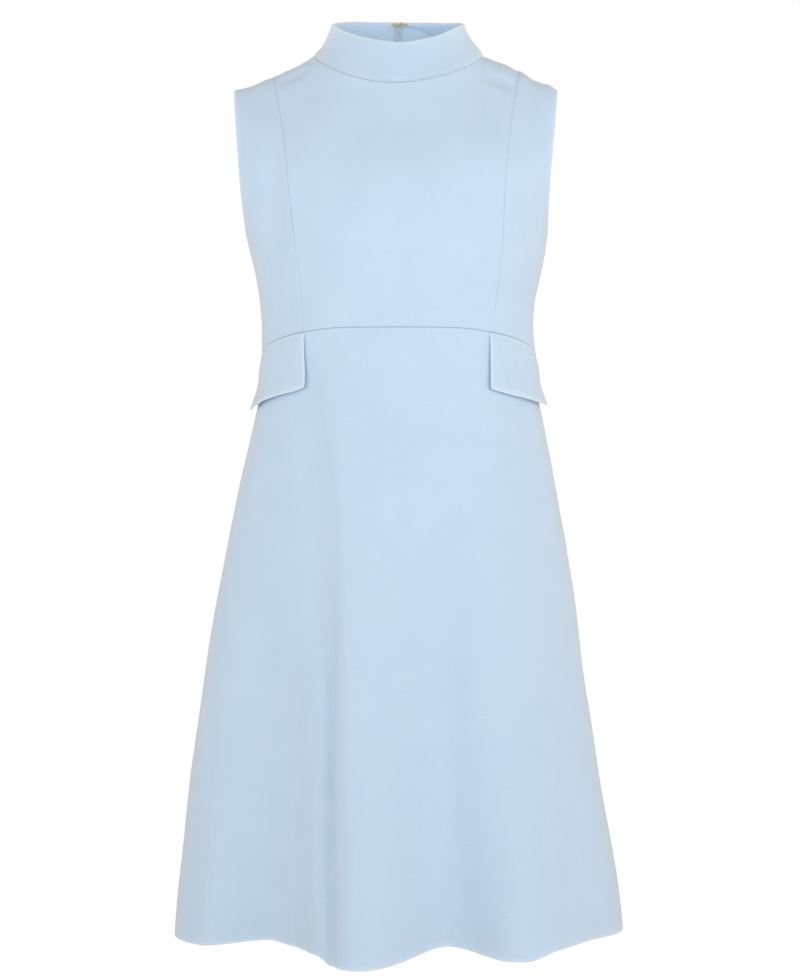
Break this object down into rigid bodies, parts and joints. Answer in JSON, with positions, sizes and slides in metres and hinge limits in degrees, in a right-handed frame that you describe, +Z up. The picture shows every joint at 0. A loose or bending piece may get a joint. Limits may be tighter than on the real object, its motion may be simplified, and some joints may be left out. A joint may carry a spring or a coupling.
{
  "type": "sleeveless A-line dress",
  "caption": "Sleeveless A-line dress, filled out as if worn, with a stand collar, princess seams, empire seam, pocket flaps and a hem that hangs in soft folds.",
  "frame": {"origin": "middle of the neck, level with the inner ends of the shoulder seams, where the wearer's shoulders carry the dress", "axes": "+Z up along the wearer's body, -Y out of the front, +X towards the wearer's left, which is the viewer's right"},
  "size_m": [0.4725, 0.3499, 0.9699],
  "materials": {
    "powder_blue_crepe": "matte double crepe, powder blue",
    "collar_crepe": "matte double crepe, powder blue, folded double",
    "zip_tape": "matte woven tape, powder blue",
    "gold_plated_brass": "polished, pale gold plate"
  },
  "bodies": {
    "dress": {"bodice_centre_front": "powder_blue_crepe", "bodice_side_front_left": "powder_blue_crepe", "bodice_side_front_right": "powder_blue_crepe", "bodice_back_left": "powder_blue_crepe", "bodice_back_right": "powder_blue_crepe", "skirt_front": "powder_blue_crepe", "skirt_back_left": "powder_blue_crepe", "skirt_back_right": "powder_blue_crepe", "flap_left": "powder_blue_crepe", "flap_right": "powder_blue_crepe", "collar": "collar_crepe", "zip_tape_left": "zip_tape", "zip_tape_right": "zip_tape", "zip_slider": "gold_plated_brass", "collar_hook": "gold_plated_brass", "collar_eye": "gold_plated_brass"},
    "pull": {"zip_pull": "gold_plated_brass"}
  },
  "joints": [
    {"name": "zip_pull_hinge", "type": "hinge", "parent": "dress", "child": "pull", "pos_m": [0.00079, 0.05843, 0.033], "axis": [1, 0, 0], "range_deg": [0, 172]}
  ]
}
